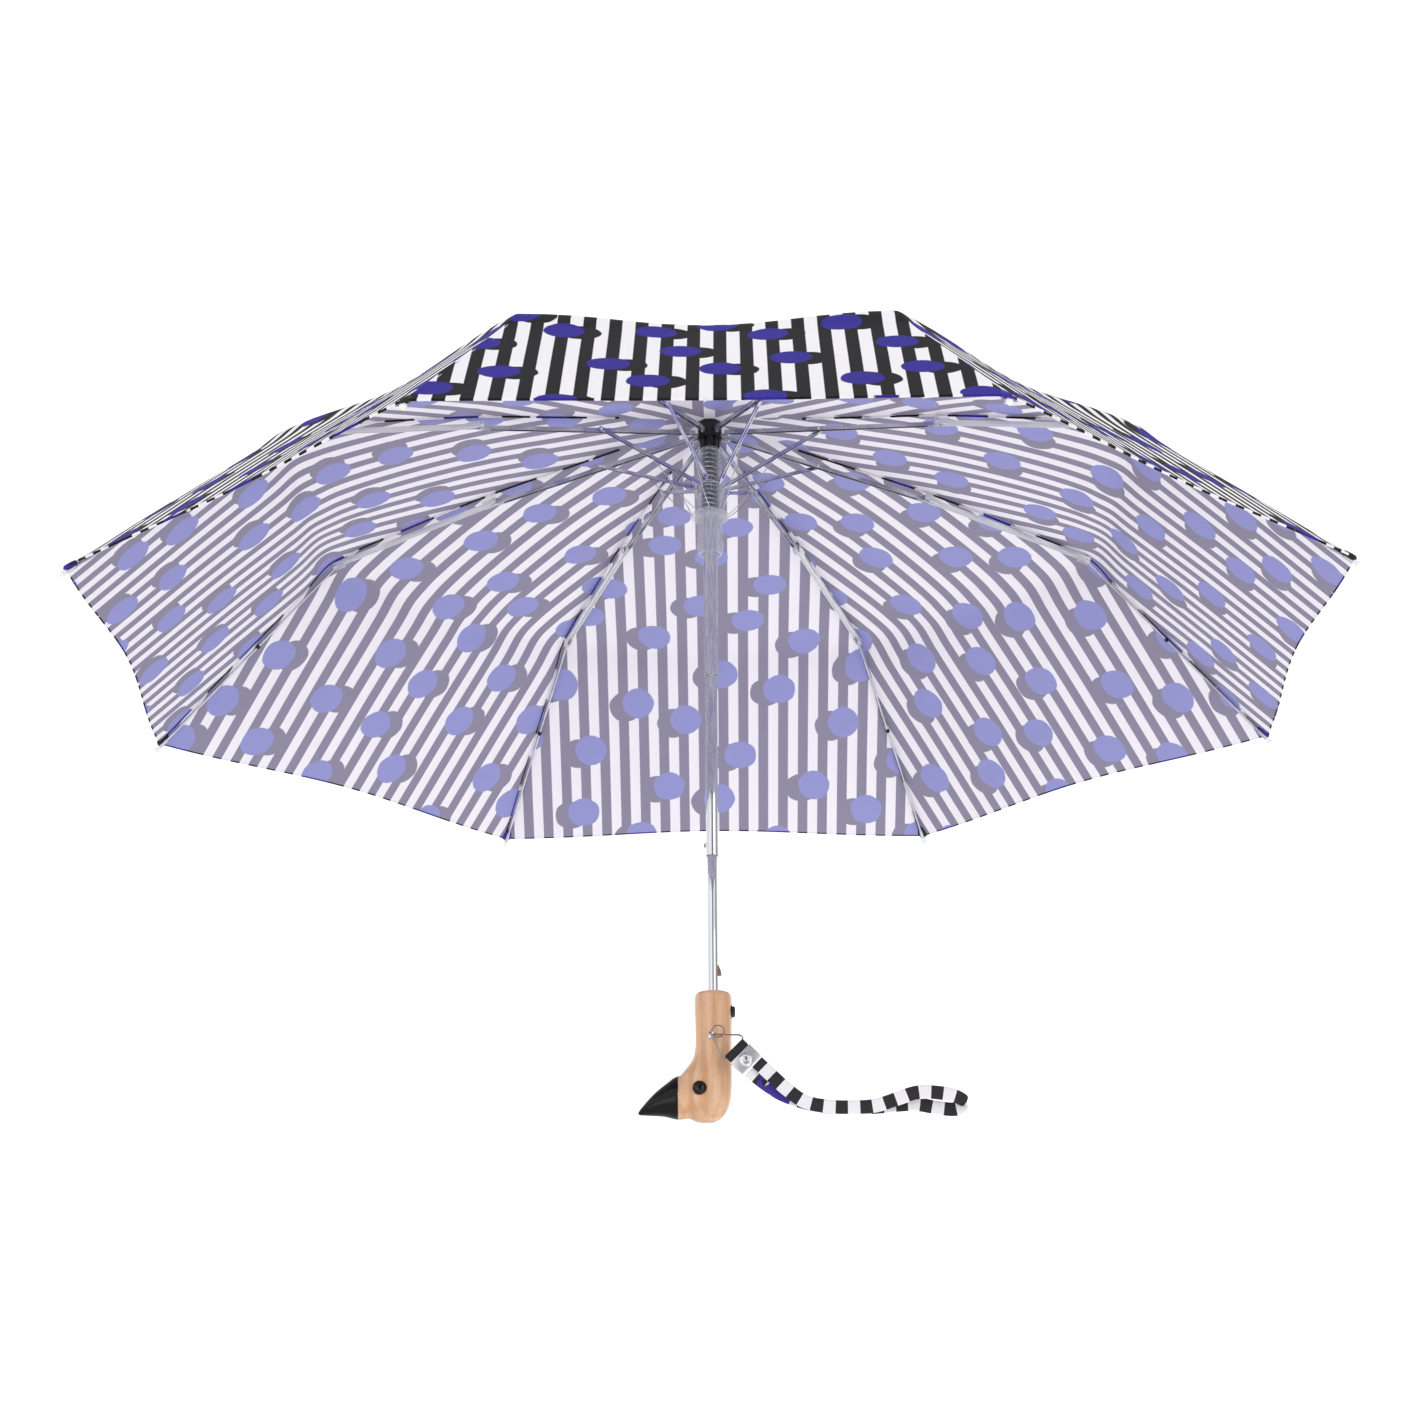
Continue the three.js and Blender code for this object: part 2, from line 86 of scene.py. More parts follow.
# Wrist strap: a limp loop of printed cloth tape, 10 mm wide, folded over and sewn along its
# edges. Both ends are held under the plate on the bail.
MM = 0.001
tape_width = 10 * MM
tape_thick = 1.3 * MM
bar_length = 8.8 * MM
print_start = 11.6 * MM
patch_from_end = (36 * MM, 7 * MM)
strap_steps = 150
tape_sides = 14
broad_power = 0.35
thin_power = 0.8
tape_route = [
    (31.6, -21.9, -18.8), (41, -22.6, -28), (52, -23, -38.5), (65, -23, -48), (80, -23, -51.6),
    (98, -23, -52.5), (116, -23, -51.5), (132, -22.8, -46.5), (146, -22.5, -42), (162, -22, -42.2),
    (175, -21, -45), (181, -18.2, -48.8), (175, -15.6, -52.6), (162, -15.2, -51.8),
    (146, -15.4, -49), (132, -15.6, -49.5), (116, -16, -51), (98, -16.2, -51), (80, -16.4, -50.4),
    (63, -17, -46.8), (48, -17.8, -41), (36, -18.6, -33), (26, -19.3, -24.6),
]


def flow(points, share):
    """The point at a share of a smooth curve through the points (centripetal Catmull-Rom)."""
    last = len(points) - 1
    at = share * last
    i = min(int(at), last - 1)
    w = at - i
    p1, p2 = Vector(points[i]), Vector(points[i + 1])
    p0 = Vector(points[i - 1]) if i > 0 else 2 * p1 - p2
    p3 = Vector(points[i + 2]) if i + 2 <= last else 2 * p2 - p1
    d0, d1, d2 = ((b - a).length ** 0.5 for a, b in ((p0, p1), (p1, p2), (p2, p3)))
    m1 = ((p1 - p0) / d0 - (p2 - p0) / (d0 + d1) + (p2 - p1) / d1) * d1
    m2 = ((p2 - p1) / d1 - (p3 - p1) / (d1 + d2) + (p3 - p2) / d2) * d1
    a = 2 * p1 - 2 * p2 + m1 + m2
    b = -3 * p1 + 3 * p2 - 2 * m1 - m2
    return ((a * w + b) * w + m1) * w + p1


class Field:
    """One output of a material's nodes. Arithmetic on it adds Math nodes."""

    def __init__(self, tree, socket=None):
        self.tree = tree
        self.socket = socket

    def node(self, kind, settings=None, inputs=None, output=0):
        made = self.tree.nodes.new(kind)
        for key, value in (settings or {}).items():
            if key == "stops":
                ramp = made.color_ramp
                while len(ramp.elements) < len(value):
                    ramp.elements.new(1)
                for stop, (place, colour) in zip(ramp.elements, value):
                    stop.position = place
                    stop.color = colour
            else:
                setattr(made, key, value)
        for key, value in (inputs or {}).items():
            if isinstance(value, Field):
                self.tree.links.new(value.socket, made.inputs[key])
            else:
                made.inputs[key].default_value = value
        return Field(self.tree, made.outputs[output])

    def sum(self, operation, first, second=0.0, third=0.0):
        values = {0: first, 1: second, 2: third}
        return self.node("ShaderNodeMath", {"operation": operation}, values)

    def __add__(self, other):
        return self.sum("ADD", self, other)

    def __radd__(self, other):
        return self.sum("ADD", other, self)

    def __sub__(self, other):
        return self.sum("SUBTRACT", self, other)

    def __rsub__(self, other):
        return self.sum("SUBTRACT", other, self)

    def __mul__(self, other):
        return self.sum("MULTIPLY", self, other)

    def __rmul__(self, other):
        return self.sum("MULTIPLY", other, self)

    def __truediv__(self, other):
        return self.sum("DIVIDE", self, other)

    def __gt__(self, other):
        return self.sum("GREATER_THAN", self, other)

    def __lt__(self, other):
        return self.sum("LESS_THAN", self, other)

    def part(self, axis):
        return self.node("ShaderNodeSeparateXYZ", None, {0: self}, axis)

    def scaled(self, x, y, z):
        return self.node("ShaderNodeVectorMath", {"operation": "MULTIPLY"}, {0: self, 1: (x, y, z)})

    def noise(self, scale, detail=2.0, roughness=0.5):
        values = {"Vector": self, "Scale": scale, "Detail": detail, "Roughness": roughness}
        return self.node("ShaderNodeTexNoise", None, values)

    def between(self, low, high):
        """0 at low and below, 1 at high and above, smooth between."""
        settings = {"interpolation_type": "SMOOTHSTEP"}
        return self.node("ShaderNodeMapRange", settings, {0: self, 1: low, 2: high, 3: 0.0, 4: 1.0})

    def choose(self, when_0, when_1):
        """A colour: the first where this field is 0, the second where it is 1."""
        return self.node("ShaderNodeMix", {"data_type": "RGBA"}, {0: self, 6: when_0, 7: when_1}, 2)

    def bump(self, depth, strength=1.0):
        values = {"Strength": strength, "Distance": depth, "Height": self}
        return self.node("ShaderNodeBump", None, values)


def start_finish(name, colour, roughness, **constants):
    """A material with its steady values set, its shader, and the place field patterns start from."""
    material = bpy.data.materials.new(name)
    material.use_nodes = True
    shader = material.node_tree.nodes["Principled BSDF"]
    shader.inputs["Base Color"].default_value = (*colour, 1)
    shader.inputs["Roughness"].default_value = roughness
    for key, value in constants.items():
        shader.inputs[key.replace("_", " ")].default_value = value
    place = Field(material.node_tree).node("ShaderNodeTexCoord", output=3)
    return material, shader, place


def feed(shader, socket, field):
    field.tree.links.new(field.socket, shader.inputs[socket])


def rgb(red, green, blue):
    """A display colour from 0 to 255 as linear light."""
    shares = (c / 255 for c in (red, green, blue))
    return tuple(c / 12.92 if c < 0.04 else ((c + 0.055) / 1.055) ** 2.4 for c in shares)


def shaped(name, corners, faces, *finishes):
    """A smooth piece from corners and faces, in the scene."""
    mesh = bpy.data.meshes.new(name)
    mesh.from_pydata([tuple(c) for c in corners], [], faces)
    mesh.shade_smooth()
    for finish in finishes:
        mesh.materials.append(finish)
    piece = bpy.data.objects.new(name, mesh)
    scene.collection.objects.link(piece)
    return piece


def swept(name, centres, ring, finish, closed=False):
    """A bar along centres; ring(i, tangent) gives the corners' offsets about centre i."""
    corners = []
    count = len(centres)
    for i, centre in enumerate(centres):
        after = centres[(i + 1) % count] if closed else centres[min(i + 1, count - 1)]
        before = centres[i - 1] if closed else centres[max(i - 1, 0)]
        corners += [centre + offset for offset in ring(i, (after - before).normalized())]
    sides = len(corners) // count
    spans = count if closed else count - 1
    faces = []
    for i in range(spans):
        for k in range(sides):
            a, b = i * sides + k, i * sides + (k + 1) % sides
            c, d = (i + 1) % count * sides + (k + 1) % sides, (i + 1) % count * sides + k
            faces.append((a, b, c, d))
    if not closed:
        faces.append(tuple(reversed(range(sides))))
        faces.append(tuple(range((count - 1) * sides, count * sides)))
    return shaped(name, corners, faces, finish)


def tape_ring(i, tangent):
    """The tape's section stands upright across its run, with rounded edges."""
    across = (Vector((0, 0, 1)) - tangent.z * tangent).normalized()
    through = across.cross(tangent)
    ring = []
    for k in range(tape_sides):
        turn = 2 * math.pi * k / tape_sides
        wide = math.copysign(abs(math.cos(turn)) ** broad_power, math.cos(turn))
        thin = math.copysign(abs(math.sin(turn)) ** thin_power, math.sin(turn))
        ring.append(across * (wide * tape_width / 2) + through * (thin * tape_thick / 2))
    return ring


strap_points = [flow(tape_route, i / strap_steps) * MM for i in range(strap_steps + 1)]
run = [0.0]
for a, b in zip(strap_points, strap_points[1:]):
    run.append(run[-1] + (b - a).length)
strap_length = run[-1]

cloth_white = rgb(238, 235, 240)
cloth_black = rgb(34, 30, 34)
tape_finish, tape_shader, tape_place = start_finish("strap_tape_cloth", cloth_white, 0.8)
tape_uv = tape_place.node("ShaderNodeUVMap", {"uv_map": "cut"})
lengthwise = tape_uv.part(0)
crosswise = tape_uv.part(1)
bars = lengthwise.sum("PINGPONG", lengthwise.sum("FLOOR", (lengthwise + print_start) / bar_length), 1.0)
tape_wear = tape_place.noise(900, 3)
patch = (lengthwise > strap_length - patch_from_end[0]) * (lengthwise < strap_length - patch_from_end[1])
printed = bars.choose((*cloth_white, 1), (*cloth_black, 1))
violet = (tape_place.noise(90, 1) > 0.4) * patch
feed(tape_shader, "Base Color", violet.choose(printed, (*rgb(62, 44, 150), 1)))
edge_stitch = (crosswise > 0.9) * 0.6 + (crosswise < 0.1) * 0.6
feed(tape_shader, "Normal", (tape_wear * 0.6 + edge_stitch).bump(0.0004, 0.5))

strap_tape = swept("strap_tape", strap_points, tape_ring, tape_finish)
strap_map = strap_tape.data.uv_layers.new(name="cut")
for face in strap_tape.data.polygons:
    for loop in face.loop_indices:
        corner = strap_tape.data.loops[loop].vertex_index
        side = 2 * math.pi * (corner % tape_sides) / tape_sides
        share = 0.5 + 0.5 * math.copysign(abs(math.cos(side)) ** broad_power, math.cos(side))
        strap_map.data[loop].uv = (run[corner // tape_sides], min(max(share, 0.001), 0.999))
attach(strap_tape, "bail")
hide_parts("strap")


# Strap clip: a folded tab of black cloth and the two tape ends under a bright plate, all held
# by a snap rivet. A bent wire bail and a small ring hang it in a screw eye.
chrome_finish, chrome_shader, chrome_place = start_finish(
    "bright_chrome", rgb(228, 229, 233), 0.12, Metallic=1.0,
)
feed(chrome_shader, "Roughness", chrome_place.noise(260, 3) * 0.14 + 0.05)


def faced_out(mesh, merge=0.0):
    """Turns a closed mesh's faces outwards, after merging corners closer than merge."""
    work = bmesh.new()
    work.from_mesh(mesh)
    if merge:
        bmesh.ops.remove_doubles(work, verts=work.verts, dist=merge)
    bmesh.ops.recalc_face_normals(work, faces=work.faces)
    work.to_mesh(mesh)
    work.free()


def turned(name, profile, finish, base=(0, 0, 0), along=(0, 0, 1), segments=64, soft=0.25):
    """A lathe-turned piece from [radius, distance] corners in mm; its corners are eased by soft mm."""
    eased = []
    closed = profile[0] == profile[-1]
    rows = profile[:-1] if closed else profile
    for i, here in enumerate(rows):
        ends = not closed and i in (0, len(rows) - 1)
        p, q = Vector(here), Vector(rows[(i + 1) % len(rows)])
        o = Vector(rows[i - 1])
        room = min((p - o).length, (q - p).length) * 0.4
        if ends or room < 0.02:
            eased.append(p)
            continue
        cut_in = min(soft, room)
        start = p + (o - p).normalized() * cut_in
        stop = p + (q - p).normalized() * cut_in
        for share in (0, 0.33, 0.67, 1):
            eased.append((1 - share) ** 2 * start + 2 * share * (1 - share) * p + share**2 * stop)
    axis = Vector(along).normalized()
    side = axis.orthogonal().normalized()
    other = axis.cross(side)
    corners, faces = [], []
    for point in eased:
        for k in range(segments):
            turn = 2 * math.pi * k / segments
            spoke = side * math.cos(turn) + other * math.sin(turn)
            corners.append((Vector(base) + spoke * max(point.x, 0.0) + axis * point.y) * MM)
    rings = len(eased)
    for i in range(rings if closed else rings - 1):
        for k in range(segments):
            a, b = i * segments + k, i * segments + (k + 1) % segments
            c, d = (i + 1) % rings * segments + (k + 1) % segments, (i + 1) % rings * segments + k
            faces.append((a, b, c, d))
    piece = shaped(name, corners, faces, finish)
    faced_out(piece.data, merge=1e-7)
    piece.data.shade_smooth()
    piece.data.set_sharp_from_angle(angle=math.radians(32))
    return piece


def wire(name, points, radius, finish, steps=96, closed=False, sides=12):
    """A round wire bent through points given in mm."""
    if closed:
        loop = list(points) + [points[0]]
        centres = [flow(loop, i / steps) * MM for i in range(steps)]
    else:
        centres = [flow(points, i / steps) * MM for i in range(steps + 1)]

    def ring(i, tangent):
        side = tangent.cross(Vector((0.31, 0.9, 0.28))).normalized()
        other = tangent.cross(side)
        turns = [2 * math.pi * k / sides for k in range(sides)]
        return [(side * math.cos(t) + other * math.sin(t)) * radius * MM for t in turns]

    return swept(name, centres, ring, finish, closed)


bail_route = [
    (2.8, -22, 1.7), (11, -21.2, 1.6), (19.6, -20.4, 1.4), (21.4, -20.2, -0.6), (15.6, -20.5, -8.1),
    (9.4, -20.8, -15.6), (7.2, -21, -16.2), (4, -23, -9.4), (0.8, -25, -2.4), (-1.6, -25.9, 1),
    (-2.7, -24, 3.1), (-0.7, -22.1, 2.5),
]
bail_finish, bail_shader, bail_place = start_finish("dull_bail_wire", rgb(150, 140, 134), 0.2, Metallic=1.0)
feed(bail_shader, "Roughness", bail_place.noise(400, 3) * 0.16 + 0.1)
bail_wire = wire("bail_wire", bail_route, 0.6, bail_finish, steps=120, closed=True)
loop_turns = [2 * math.pi * k / 12 for k in range(12)]
link_centre = Vector((3.6, -22.4, 4.0))
link_radius = 4.6
link_tilt = 0.8
link_route = [
    link_centre + Vector((link_radius * math.cos(t), link_tilt * math.sin(t), link_radius * math.sin(t)))
    for t in loop_turns
]
link_ring = wire("link_ring", link_route, 0.5, bail_finish, steps=72, closed=True)
for piece in (bail_wire, link_ring):
    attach(piece, "bail")
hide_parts("bail")

eyelet_x, eyelet_z = -1, 2
eyelet_twist = 0.9
eyelet_radius = 3.6
eyelet_post = turned(
    "eyelet_post", [(0, -8), (0.6, -4), (1, 0), (1, 4.4), (0, 4.6)],
    chrome_finish, (eyelet_x, -12.6, eyelet_z), (0, -1, 0), 20,
)
ring_side = Vector((math.cos(eyelet_twist), 0, math.sin(eyelet_twist)))
ring_centre = Vector((eyelet_x, -20.6, eyelet_z))
ring_route = [
    ring_centre + eyelet_radius * (Vector((0, 1, 0)) * math.cos(t) + ring_side * math.sin(t))
    for t in loop_turns
]
eyelet_ring = wire("eyelet_ring", ring_route, 0.8, chrome_finish, steps=72, closed=True)
for piece in (eyelet_post, eyelet_ring):
    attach(piece, "handle")
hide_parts("screw_eye")

slope_down = Vector((1, 0, -1)).normalized()
slope_across = Vector((1, 0, 1)).normalized()
clip_centre = Vector((15.4, -20.6, -8.4))


def worked(piece, *steps):
    """Applies modifiers, each a kind and its settings, and leaves a plain mesh."""
    for kind, settings in steps:
        made = piece.modifiers.new(kind, kind)
        for key, value in settings.items():
            setattr(made, key, value)
    view = bpy.context.evaluated_depsgraph_get()
    finished = bpy.data.meshes.new_from_object(piece.evaluated_get(view))
    piece.modifiers.clear()
    piece.data = finished
    return piece


def padded_block(name, start, stop, half_wide, half_thick, finish, ease, cuts=4):
    """A flat block along the strap's slope, its edges rounded by ease mm."""
    work = bmesh.new()
    bmesh.ops.create_cube(work, size=1)
    for corner in work.verts:
        down = (start + stop) / 2 + corner.co.x * (stop - start)
        offset = slope_down * down + slope_across * (corner.co.z * 2 * half_wide)
        corner.co = (clip_centre + offset + Vector((0, corner.co.y * 2 * half_thick, 0))) * MM
    bmesh.ops.recalc_face_normals(work, faces=work.faces)
    mesh = bpy.data.meshes.new(name)
    work.to_mesh(mesh)
    work.free()
    mesh.materials.append(finish)
    piece = bpy.data.objects.new(name, mesh)
    scene.collection.objects.link(piece)
    worked(piece, ("BEVEL", {"width": ease * MM, "segments": cuts}))
    piece.data.shade_smooth()
    return piece


fold_finish, fold_shader, fold_place = start_finish("black_fold_cloth", rgb(24, 22, 25), 0.75)
fold_weave = fold_place.noise(2200, 2)
feed(fold_shader, "Normal", fold_weave.bump(0.0003, 0.6))
plate_finish, plate_shader, plate_place = start_finish(
    "clip_plate", rgb(214, 214, 216), 0.16, Metallic=0.55, Coat_Weight=0.8,
)
feed(plate_shader, "Roughness", plate_place.noise(500, 2) * 0.2 + 0.08)
fold_top, fold_foot = -1, 5.2
plate_top, plate_foot = 5.4, 17.4
folded_tab = padded_block("folded_tab", fold_top, fold_foot, 9.2, 1.7, fold_finish, 0.9)
clip_plate = padded_block("clip_plate", plate_top, plate_foot, 9.8, 1.5, plate_finish, 0.5)
snap = turned(
    "snap_head",
    [(0, 2.1), (1.4, 2.05), (1.7, 1.5), (2.4, 1.45), (2.9, 2), (3.8, 1.8), (5.1, 0.7), (5.2, 0), (0, 0)],
    chrome_finish, (23.6, -22.2, -17), (0, -1, 0), 48, 0.3,
)
for piece, node, slot in (
    (folded_tab, "strap_fold", "printed_cloth"), (clip_plate, "strap_clip", "clip_plastic"),
    (snap, "snap_rivet", "chrome"),
):
    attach(piece, "bail")
    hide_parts(node)


# Handle: a bird's neck and head carved from one block of pale hardwood and varnished, with the
# beak dipped in gloss black paint. It is bored for the tube, the button and the eyes.
neck = 13.3
handle_top = 38
head_low = -58
beak_paint_x = -25.6 * MM
button_centre = (0, 0, 24)
eye_centre = (-10, 0, -36)
neck_and_head = [
    (head_low, -7, -1, 2.5), (head_low + 1.6, -14.5, 3.2, 8), (head_low + 6.5, -21.5, 8.4, 12.5),
    (head_low + 14, -25.5, 11.8, 15.8), (head_low + 24, -26.5, neck - 0.2, 16.5),
    (head_low + 33, -25, neck, 15.6), (head_low + 39, -20.5, neck, 14.4), (head_low + 46, -15.6, neck, 13.6),
    (head_low + 55, -neck, neck, neck), (handle_top - 2.2, -neck, neck, neck),
    (handle_top - 0.6, -12.6, 12.6, 12.6), (handle_top, -11, 11, 11),
]
beak_rows = [
    (-55, -52.5, -50.5, 1), (-52.8, -52.6, -47.4, 2.6), (-44, -52.9, -37.4, 7.4), (-35, -53.6, -29.8, 10.8),
    (-26, -55.6, -24, 13.4), (-12, -54, -26, 12),
]


def carved(name, rows, steps, to_point, finish, sides=56):
    """A solid whose slices are ellipses, closed by a flat slice at each end."""
    corners = []
    for i in range(steps + 1):
        along, low, high = flow([r[:3] for r in rows], i / steps)
        thick = flow([(r[0], r[3], 0) for r in rows], i / steps).y
        for k in range(sides):
            turn = 2 * math.pi * k / sides
            across = (low + high) / 2 + (high - low) / 2 * math.cos(turn)
            corners.append(to_point(along, across, thick * math.sin(turn)) * MM)
    faces = [
        (i * sides + k, i * sides + (k + 1) % sides, (i + 1) * sides + (k + 1) % sides, (i + 1) * sides + k)
        for i in range(steps) for k in range(sides)
    ]
    faces.append(tuple(reversed(range(sides))))
    faces.append(tuple(range(steps * sides, (steps + 1) * sides)))
    piece = shaped(name, corners, faces, finish)
    faced_out(piece.data)
    return piece


wood_finish, wood_shader, wood_place = start_finish(
    "varnished_wood", rgb(230, 186, 144), 0.3, Coat_Roughness=0.06,
)
grain_place = wood_place.scaled(1.0, 1.0, 0.09)
broad_grain = grain_place.noise(170, 4, 0.6)
fine_grain = grain_place.noise(900, 2, 0.5)
pores = wood_place.scaled(1.0, 1.0, 0.14).noise(1700, 1) > 0.66
tan = broad_grain.between(0.34, 0.66).choose((*rgb(230, 188, 152), 1), (*rgb(208, 160, 121), 1))
tan = (fine_grain * 0.35).choose(tan, (*rgb(193, 143, 101), 1))
tan = (pores * 0.22).choose(tan, (*rgb(150, 98, 56), 1))
# Painted shade: blotches of darker brown over the bottom of the head, on its underside.
shade_under_head = (0.0 - wood_place.part(2)).between(0.043, 0.058) * wood_place.noise(1500, 1).between(0.4, 0.6)
tan = (shade_under_head * 0.45).choose(tan, (*rgb(160, 112, 74), 1))
paint_edge = wood_place.part(0) + wood_place.noise(120, 1) * (0.6 * MM)
paint = paint_edge.between(beak_paint_x + 0.4 * MM, beak_paint_x + 0.1 * MM)
feed(wood_shader, "Base Color", paint.choose(tan, (*rgb(9, 8, 10), 1)))
feed(wood_shader, "Roughness", paint * -0.16 + 0.3)
feed(wood_shader, "Coat Weight", paint * -0.45 + 0.6)
wood_shader.inputs["Specular IOR Level"].default_value = 0.15
feed(wood_shader, "Normal", (broad_grain * (1 - paint) + wood_place.noise(60, 2) * 0.5).bump(0.0003, 0.25))

carved_head = carved("carved_head", neck_and_head, 90, lambda z, x, y: Vector((x, y, z)), wood_finish)
beak_block = carved("beak_block", beak_rows, 50, lambda x, z, y: Vector((x, y, z)), wood_finish)

worked(carved_head, ("BOOLEAN", {"object": beak_block, "operation": "UNION", "solver": "EXACT"}))
worked(
    carved_head,
    ("REMESH", {"mode": "VOXEL", "voxel_size": 0.85 * MM}),
    ("SMOOTH", {"factor": 0.5, "iterations": 8}),
)
drills = (
    ("bore_tool", 4.1, -2, 60, (0, 0, 0), (0, 0, 1), 32),
    ("button_tool", 5.2, 7.6, 20, button_centre, (1, 0, 0), 48),
    ("left_eye_tool", 5.3, 15.2, 22, eye_centre, (0, -1, 0), 48),
    ("right_eye_tool", 5.3, 15.2, 22, eye_centre, (0, 1, 0), 48),
    ("eyelet_tool", 1.2, 8.5, 20, (eyelet_x, 0, eyelet_z), (0, -1, 0), 24),
)
tools = [
    turned(name, [(0, near), (radius, near), (radius, far), (0, far)], wood_finish, centre, way, sides, 0)
    for name, radius, near, far, centre, way, sides in drills
]
for tool in tools:
    worked(carved_head, ("BOOLEAN", {"object": tool, "operation": "DIFFERENCE", "solver": "EXACT"}))
for tool in [*tools, beak_block]:
    bpy.data.objects.remove(tool)
carved_head.data.materials.clear()
carved_head.data.materials.append(wood_finish)
carved_head.data.shade_smooth()
carved_head.data.set_sharp_from_angle(angle=math.radians(50))
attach(carved_head, "handle")
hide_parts("handle")


# Eyes: domed black glass beads glued into their pits, each in a thin brown painted rim.
bead_finish, bead_shader, bead_place = start_finish(
    "black_bead", rgb(8, 7, 9), 0.06, Coat_Weight=0.25, Coat_Roughness=0.03, Specular_IOR_Level=0.25,
)
feed(bead_shader, "Roughness", bead_place.noise(700, 2) * 0.05 + 0.04)
rim_finish, rim_shader, rim_place = start_finish("eye_rim_paint", rgb(92, 52, 30), 0.35, Coat_Weight=0.5)
feed(rim_shader, "Roughness", rim_place.noise(900, 2) * 0.2 + 0.25)
for name, side, node in (("left", -1, "eye_left"), ("right", 1, "eye_right")):
    bead_profile = [(0, 19.2), (1.4, 19.1), (2.8, 18.6), (3.8, 17.9), (4.4, 17), (4.5, 15.5), (0, 15.5)]
    bead = turned(f"eye_bead_{name}", bead_profile, bead_finish, eye_centre, (0, side, 0), 64, 0.5)
    rim_profile = [(4.55, 15.6), (5.2, 15.6), (5.2, 16.9), (4.9, 17.3), (4.55, 17.0), (4.55, 15.6)]
    rim = turned(f"eye_rim_{name}", rim_profile, rim_finish, eye_centre, (0, side, 0), 64, 0.15)
    for piece in (bead, rim):
        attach(piece, "handle")
    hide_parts(node)


# Release button: a black moulded button that slides in a thin black bush pressed into the neck.
moulded_finish, moulded_shader, moulded_place = start_finish("black_moulding", rgb(20, 20, 22), 0.3)
feed(moulded_shader, "Roughness", moulded_place.noise(1200, 2) * 0.2 + 0.22)
feed(moulded_shader, "Normal", moulded_place.noise(2600, 2).bump(0.0001, 0.15))
bush = turned(
    "button_bush", [(4.4, 9), (4.9, 9), (4.9, 14), (4.4, 14), (4.4, 9)],
    moulded_finish, button_centre, (1, 0, 0), 48, 0.15,
)
button = turned(
    "push_button", [(0, 11.3), (4.1, 11.3), (4.1, 15.1), (3.5, 16), (2.2, 16.2), (1.8, 15.9), (0, 15.8)],
    moulded_finish, button_centre, (1, 0, 0), 48, 0.3,
)
for piece, body, node in ((bush, "handle", "button_bush"), (button, "release_button", "release_button")):
    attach(piece, body)
    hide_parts(node)


# Shaft: three bright plated steel tubes that slide into each other. The middle one is slotted for
# the pawl and the lower one for the hooked catch, which are both browned spring steel.
tube_finish, tube_shader, tube_place = start_finish("plated_tube", rgb(208, 210, 216), 0.14, Metallic=1.0)
rubs = tube_place.scaled(1.0, 1.0, 0.03).noise(300, 2)
feed(tube_shader, "Roughness", rubs * 0.06 + 0.03)
tube_tone = rubs.between(0.35, 0.7).choose((*rgb(220, 221, 226), 1), (*rgb(200, 201, 208), 1))
feed(tube_shader, "Base Color", tube_tone)
slots = {"middle_tube": ((-6, -2), (-1, 1), (149, 169)), "lower_tube": ((2, 5), (-1.2, 1.2), (50, 62))}
box_faces = [(0, 1, 3, 2), (4, 6, 7, 5), (0, 4, 5, 1), (2, 3, 7, 6), (0, 2, 6, 4), (1, 5, 7, 3)]
for name, outer, inner, low, high in (
    ("upper_tube", 5.5, 5.0, 287, 495), ("middle_tube", 4.6, 4.15, 143.5, 305),
    ("lower_tube", 3.7, 3.2, 0, 165),
):
    profile = [(inner, low), (outer, low), (outer, high), (inner, high), (inner, low)]
    shaft = turned(name.replace("tube", "shaft"), profile, tube_finish, segments=72, soft=0.2)
    if name in slots:
        xs, ys, zs = slots[name]
        slot_corners = [Vector((x, y, z)) * MM for x in xs for y in ys for z in zs]
        slot_tool = shaped("slot_tool", slot_corners, box_faces, tube_finish)
        worked(shaft, ("BOOLEAN", {"object": slot_tool, "operation": "DIFFERENCE", "solver": "EXACT"}))
        bpy.data.objects.remove(slot_tool)
    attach(shaft, frame["nodes"][name]["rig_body"])
    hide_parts(name)

catch_finish, catch_shader, catch_place = start_finish("browned_catch", rgb(168, 132, 112), 0.3, Metallic=0.8)
feed(catch_shader, "Roughness", catch_place.noise(900, 2) * 0.25 + 0.2)
frame["nodes"]["closed_catch"].material_slots[0].material = catch_finish
frame["nodes"]["tube_catch"].material_slots[0].material = catch_finish


# Crown and cap: a black notched hub pressed on the tube, with the tie wire that the top ribs
# hinge on, and a round cap whose stem plugs the tube and whose shoulder pins the cloth.
rib_finish, rib_shader, rib_place = start_finish("rolled_rib_steel", rgb(186, 187, 196), 0.3, Metallic=1.0)
streaks = rib_place.noise(60, 2)
feed(rib_shader, "Roughness", streaks * 0.14 + 0.2)
rib_tone = streaks.between(0.3, 0.7).choose((*rgb(178, 178, 190), 1), (*rgb(208, 208, 214), 1))
feed(rib_shader, "Base Color", rib_tone)
frame["nodes"]["crown"].material_slots[0].material = moulded_finish
for node in ("crown_wire", "runner_wire"):
    frame["nodes"][node].material_slots[0].material = rib_finish
cap = turned(
    "top_cap", [
        (0, 488), (4.8, 488), (4.8, 497.1), (7, 497.1), (7, 500.4), (12, 500.4), (12.4, 501.4),
        (10, 503.4), (7, 505.2), (6, 507.6), (5, 508.6), (0, 508.6),
    ],
    moulded_finish, segments=64, soft=0.3,
)
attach(cap, "upper_tube")
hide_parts("top_cap")


